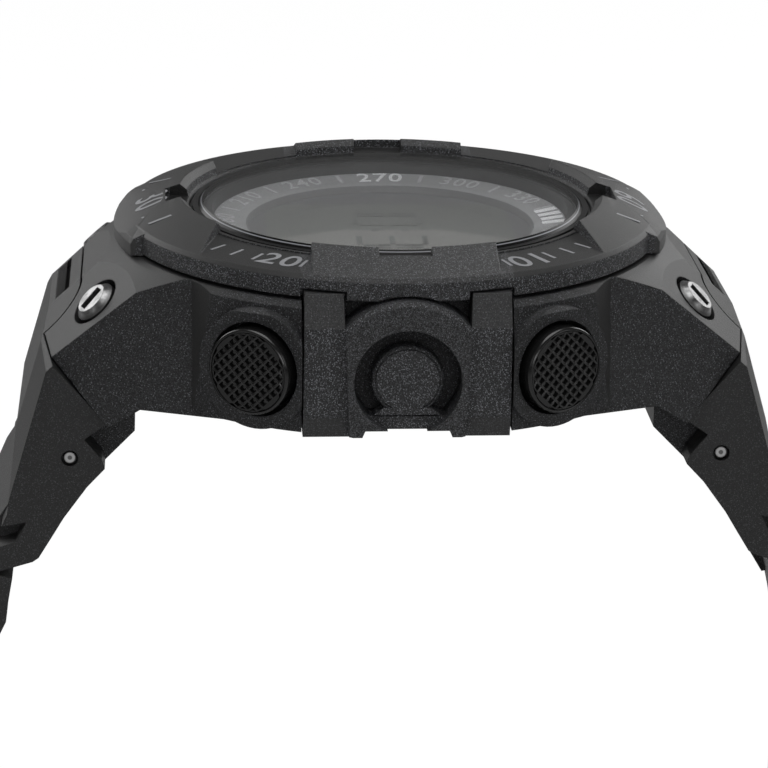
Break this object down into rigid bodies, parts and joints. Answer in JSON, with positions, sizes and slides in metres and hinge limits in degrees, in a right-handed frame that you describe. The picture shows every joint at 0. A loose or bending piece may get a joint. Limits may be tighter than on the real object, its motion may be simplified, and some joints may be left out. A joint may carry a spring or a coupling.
{
  "type": "digital sports watch",
  "caption": "Digital sports watch with faceted resin case, raised ring bezel, side pushers, guarded centre button and an unbuckled two-piece resin strap.",
  "frame": {"origin": "centre of the flat face of the case back, where the watch rests on the wrist", "axes": "+Z out of the dial, +Y to 12 o'clock, +X to 3 o'clock"},
  "size_m": [0.048, 0.0814, 0.1116],
  "materials": {
    "case_resin": "grained black resin on the side facets, smooth satin on the shoulders",
    "guard_resin": "grained black resin",
    "bezel_resin": "satin black resin, grained on the side wall",
    "crystal_glass": "clear mineral glass with a polished edge",
    "black_rubber": "soft black rubber",
    "dial_plastic": "dark grey plastic, matt",
    "lcd_glass": "grey display glass",
    "backlight_film": "pale light guide",
    "module_plastic": "grey moulded plastic",
    "zebra_rubber": "pink layered silicone",
    "board_laminate": "green laminate",
    "contact_brass": "plain brass",
    "cell_steel": "brushed steel can",
    "back_steel": "brushed steel",
    "screw_steel": "plain steel",
    "stud_chrome": "polished silver metal",
    "pin_steel": "plain turned steel",
    "spring_steel": "drawn spring wire",
    "pusher_gloss": "gloss black with a raised diamond pattern on the face",
    "strap_resin": "satin black strap resin",
    "keeper_resin": "satin black strap resin",
    "buckle_metal": "black coated metal"
  },
  "bodies": {
    "head": {"case_body": "case_resin", "crown_guard": "guard_resin", "bezel": "bezel_resin", "crystal": "crystal_glass", "crystal_gasket": "black_rubber", "dial_ring": "dial_plastic", "lcd_panel": "lcd_glass", "lcd_backlight": "backlight_film", "lcd_frame": "module_plastic", "lcd_connectors": "zebra_rubber", "circuit_board": "board_laminate", "switch_contacts": "contact_brass", "module_housing": "module_plastic", "battery": "cell_steel", "battery_clip": "contact_brass", "buzzer": "contact_brass", "case_back": "back_steel", "case_back_gasket": "black_rubber", "case_back_screws": "screw_steel", "case_studs": "stud_chrome", "strap_pin_12": "pin_steel", "strap_pin_6": "pin_steel", "pusher_spring_2": "spring_steel", "pusher_spring_4": "spring_steel", "pusher_spring_8": "spring_steel", "pusher_spring_10": "spring_steel", "centre_spring": "spring_steel", "pusher_seal_2": "black_rubber", "pusher_seal_4": "black_rubber", "pusher_seal_8": "black_rubber", "pusher_seal_10": "black_rubber", "centre_seal": "black_rubber"},
    "pusher_2": {"pusher_2": "pusher_gloss", "pusher_clip_2": "pin_steel"},
    "pusher_4": {"pusher_4": "pusher_gloss", "pusher_clip_4": "pin_steel"},
    "pusher_8": {"pusher_8": "pusher_gloss", "pusher_clip_8": "pin_steel"},
    "pusher_10": {"pusher_10": "pusher_gloss", "pusher_clip_10": "pin_steel"},
    "centre": {"centre_button": "guard_resin", "centre_clip": "pin_steel"},
    "strap_12": {"strap_12": "strap_resin"},
    "strap_6": {"strap_6": "strap_resin"},
    "keeper": {"keeper": "keeper_resin"},
    "buckle": {"buckle_frame": "buckle_metal", "buckle_bar": "pin_steel"},
    "tongue": {"buckle_tongue": "buckle_metal"}
  },
  "joints": [
    {"name": "pusher_2_press", "type": "slide", "parent": "head", "child": "pusher_2", "axis": [-0.8678, -0.497, 0], "range_m": [0, 0.0009], "stiffness_N_per_m": 900, "deforming": ["pusher_spring_2"]},
    {"name": "pusher_4_press", "type": "slide", "parent": "head", "child": "pusher_4", "axis": [-0.8678, 0.497, 0], "range_m": [0, 0.0009], "stiffness_N_per_m": 900, "deforming": ["pusher_spring_4"]},
    {"name": "pusher_8_press", "type": "slide", "parent": "head", "child": "pusher_8", "axis": [0.8678, 0.497, 0], "range_m": [0, 0.0009], "stiffness_N_per_m": 900, "deforming": ["pusher_spring_8"]},
    {"name": "pusher_10_press", "type": "slide", "parent": "head", "child": "pusher_10", "axis": [0.8678, -0.497, 0], "range_m": [0, 0.0009], "stiffness_N_per_m": 900, "deforming": ["pusher_spring_10"]},
    {"name": "centre_press", "type": "slide", "parent": "head", "child": "centre", "axis": [-1, 0, 0], "range_m": [0, 0.0009], "stiffness_N_per_m": 900, "deforming": ["centre_spring"]},
    {"name": "strap_12_swing", "type": "hinge", "parent": "head", "child": "strap_12", "pos_m": [0, 0.0274, -0.0034], "axis": [-1, 0, 0], "range_deg": [0, 8]},
    {"name": "strap_6_swing", "type": "hinge", "parent": "head", "child": "strap_6", "pos_m": [0, -0.0274, -0.0034], "axis": [1, 0, 0], "range_deg": [0, 8]},
    {"name": "keeper_slide", "type": "slide", "parent": "strap_12", "child": "keeper", "axis": [0, -0.7071, -0.7071], "range_m": [-0.007, 0.003]},
    {"name": "buckle_swing", "type": "hinge", "parent": "strap_12", "child": "buckle", "pos_m": [0, 0.01708, -0.07441], "axis": [1, 0, 0], "range_deg": [-50, 50]},
    {"name": "tongue_swing", "type": "hinge", "parent": "buckle", "child": "tongue", "pos_m": [0, 0.01708, -0.07441], "axis": [1, 0, 0], "range_deg": [0, 55]}
  ]
}
